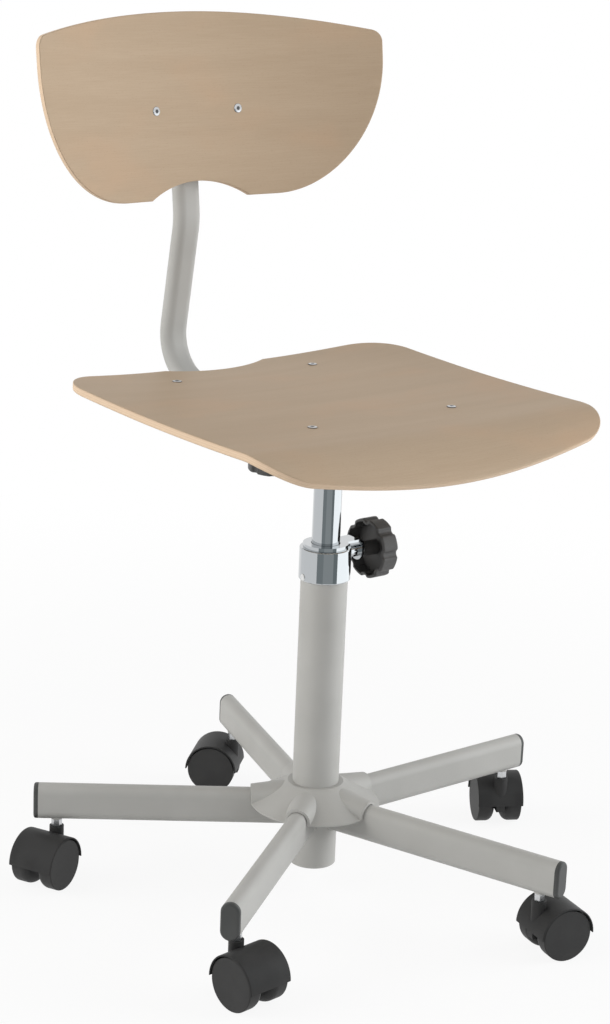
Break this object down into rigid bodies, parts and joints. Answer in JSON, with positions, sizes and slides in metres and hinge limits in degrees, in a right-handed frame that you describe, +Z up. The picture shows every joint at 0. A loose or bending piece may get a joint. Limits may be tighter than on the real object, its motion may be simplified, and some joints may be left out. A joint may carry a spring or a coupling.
{
  "type": "mobile work chair",
  "caption": "Work chair with moulded plywood seat and backrest on a bent flat-oval stem, a clamped height post and a star base with twin-wheel castors.",
  "frame": {"origin": "on the floor, under the column axis", "axes": "+Z up along the column, the sitter faces -Y, the sitter's left is +X"},
  "size_m": [0.6095, 0.6216, 0.9149],
  "materials": {
    "plywood": "satin lacquered beech plywood",
    "grey_coat": "fine grey powder coat",
    "chrome": "bright chrome plate",
    "steel": "bright zinc plate",
    "black_plastic": "fine grained",
    "bush_plastic": "plain moulded",
    "brass_pad": "plain turned"
  },
  "bodies": {
    "base": {"base_arms": "grey_coat", "arm_caps": "black_plastic", "castor_sockets": "grey_coat", "castor_stems": "steel", "hub_pressing": "grey_coat", "column_tube": "grey_coat", "column_foot": "grey_coat", "guide_bush": "bush_plastic", "collar": "chrome", "collar_rivets": "chrome", "clamp_plate": "chrome", "clamp_nut": "chrome"},
    "castor_1": {"castor_1_housing": "black_plastic", "castor_1_axle": "steel"},
    "wheel_1_left": {"castor_1_wheel_left": "black_plastic"},
    "wheel_1_right": {"castor_1_wheel_right": "black_plastic"},
    "castor_2": {"castor_2_housing": "black_plastic", "castor_2_axle": "steel"},
    "wheel_2_left": {"castor_2_wheel_left": "black_plastic"},
    "wheel_2_right": {"castor_2_wheel_right": "black_plastic"},
    "castor_3": {"castor_3_housing": "black_plastic", "castor_3_axle": "steel"},
    "wheel_3_left": {"castor_3_wheel_left": "black_plastic"},
    "wheel_3_right": {"castor_3_wheel_right": "black_plastic"},
    "castor_4": {"castor_4_housing": "black_plastic", "castor_4_axle": "steel"},
    "wheel_4_left": {"castor_4_wheel_left": "black_plastic"},
    "wheel_4_right": {"castor_4_wheel_right": "black_plastic"},
    "castor_5": {"castor_5_housing": "black_plastic", "castor_5_axle": "steel"},
    "wheel_5_left": {"castor_5_wheel_left": "black_plastic"},
    "wheel_5_right": {"castor_5_wheel_right": "black_plastic"},
    "height_post": {"post": "chrome", "post_foot_ring": "bush_plastic", "post_cap": "black_plastic"},
    "seat": {"swivel_socket": "grey_coat", "swivel_bushes": "bush_plastic", "thrust_disc": "bush_plastic", "seat_plate": "grey_coat", "seat_pads": "black_plastic", "seat_shell": "plywood", "seat_screws": "steel", "seat_nuts": "steel", "stem_sleeve": "grey_coat", "depth_nut": "grey_coat"},
    "back": {"back_stem": "grey_coat", "stem_plugs": "black_plastic", "back_bracket": "grey_coat", "back_shell": "plywood", "back_screws": "steel", "back_nuts": "steel"},
    "clamp_slider": {"clamp_pad": "brass_pad"},
    "clamp_handle": {"clamp_screw": "steel", "clamp_knob": "black_plastic"},
    "depth_slider": {"depth_pad": "brass_pad"},
    "depth_handle": {"depth_screw": "steel", "depth_knob": "black_plastic"}
  },
  "joints": [
    {"name": "castor_1_swivel", "type": "hinge", "parent": "base", "child": "castor_1", "pos_m": [0.2783, 0, 0.061], "axis": [0, 0, 1], "continuous": true},
    {"name": "wheel_1_left_spin", "type": "hinge", "parent": "castor_1", "child": "wheel_1_left", "pos_m": [0.2888, 0.01819, 0.0278], "axis": [-0.866, 0.5, 0], "continuous": true},
    {"name": "wheel_1_right_spin", "type": "hinge", "parent": "castor_1", "child": "wheel_1_right", "pos_m": [0.2888, 0.01819, 0.0278], "axis": [-0.866, 0.5, 0], "continuous": true},
    {"name": "castor_2_swivel", "type": "hinge", "parent": "base", "child": "castor_2", "pos_m": [0.086, 0.26468, 0.061], "axis": [0, 0, 1], "continuous": true},
    {"name": "wheel_2_left_spin", "type": "hinge", "parent": "castor_2", "child": "wheel_2_left", "pos_m": [0.07195, 0.28029, 0.0278], "axis": [-0.7431, -0.6691, 0], "continuous": true},
    {"name": "wheel_2_right_spin", "type": "hinge", "parent": "castor_2", "child": "wheel_2_right", "pos_m": [0.07195, 0.28029, 0.0278], "axis": [-0.7431, -0.6691, 0], "continuous": true},
    {"name": "castor_3_swivel", "type": "hinge", "parent": "base", "child": "castor_3", "pos_m": [-0.22515, 0.16358, 0.061], "axis": [0, 0, 1], "continuous": true},
    {"name": "wheel_3_left_spin", "type": "hinge", "parent": "castor_3", "child": "wheel_3_left", "pos_m": [-0.24433, 0.15504, 0.0278], "axis": [0.4067, -0.9135, 0], "continuous": true},
    {"name": "wheel_3_right_spin", "type": "hinge", "parent": "castor_3", "child": "wheel_3_right", "pos_m": [-0.24433, 0.15504, 0.0278], "axis": [0.4067, -0.9135, 0], "continuous": true},
    {"name": "castor_4_swivel", "type": "hinge", "parent": "base", "child": "castor_4", "pos_m": [-0.22515, -0.16358, 0.061], "axis": [0, 0, 1], "continuous": true},
    {"name": "wheel_4_left_spin", "type": "hinge", "parent": "castor_4", "child": "wheel_4_left", "pos_m": [-0.22295, -0.18447, 0.0278], "axis": [0.9945, 0.1045, 0], "continuous": true},
    {"name": "wheel_4_right_spin", "type": "hinge", "parent": "castor_4", "child": "wheel_4_right", "pos_m": [-0.22295, -0.18447, 0.0278], "axis": [0.9945, 0.1045, 0], "continuous": true},
    {"name": "castor_5_swivel", "type": "hinge", "parent": "base", "child": "castor_5", "pos_m": [0.086, -0.26468, 0.061], "axis": [0, 0, 1], "continuous": true},
    {"name": "wheel_5_left_spin", "type": "hinge", "parent": "castor_5", "child": "wheel_5_left", "pos_m": [0.10654, -0.26904, 0.0278], "axis": [0.2079, 0.9781, 0], "continuous": true},
    {"name": "wheel_5_right_spin", "type": "hinge", "parent": "castor_5", "child": "wheel_5_right", "pos_m": [0.10654, -0.26904, 0.0278], "axis": [0.2079, 0.9781, 0], "continuous": true},
    {"name": "seat_height", "type": "slide", "parent": "base", "child": "height_post", "axis": [0, 0, 1], "range_m": [-0.035, 0.095]},
    {"name": "seat_swivel", "type": "hinge", "parent": "height_post", "child": "seat", "pos_m": [0, 0, 0.525], "axis": [0, 0, 1], "continuous": true},
    {"name": "back_depth", "type": "slide", "parent": "seat", "child": "back", "axis": [0, 1, 0], "range_m": [-0.02, 0.03]},
    {"name": "clamp_travel", "type": "slide", "parent": "base", "child": "clamp_slider", "axis": [1, 0, 0], "range_m": [0, 0.0025]},
    {"name": "clamp_turn", "type": "hinge", "parent": "clamp_slider", "child": "clamp_handle", "pos_m": [0.0445, 0, 0.373], "axis": [1, 0, 0], "range_deg": [0, 721]},
    {"name": "depth_travel", "type": "slide", "parent": "seat", "child": "depth_slider", "axis": [0, 0, -1], "range_m": [0, 0.0025]},
    {"name": "depth_turn", "type": "hinge", "parent": "depth_slider", "child": "depth_handle", "pos_m": [0, 0.086, 0.495], "axis": [0, 0, -1], "range_deg": [0, 721]}
  ],
  "couplings": [
    {"joint": "clamp_turn", "follows": "clamp_travel", "rad_per_m": 5026.5},
    {"joint": "depth_turn", "follows": "depth_travel", "rad_per_m": 5026.5}
  ]
}
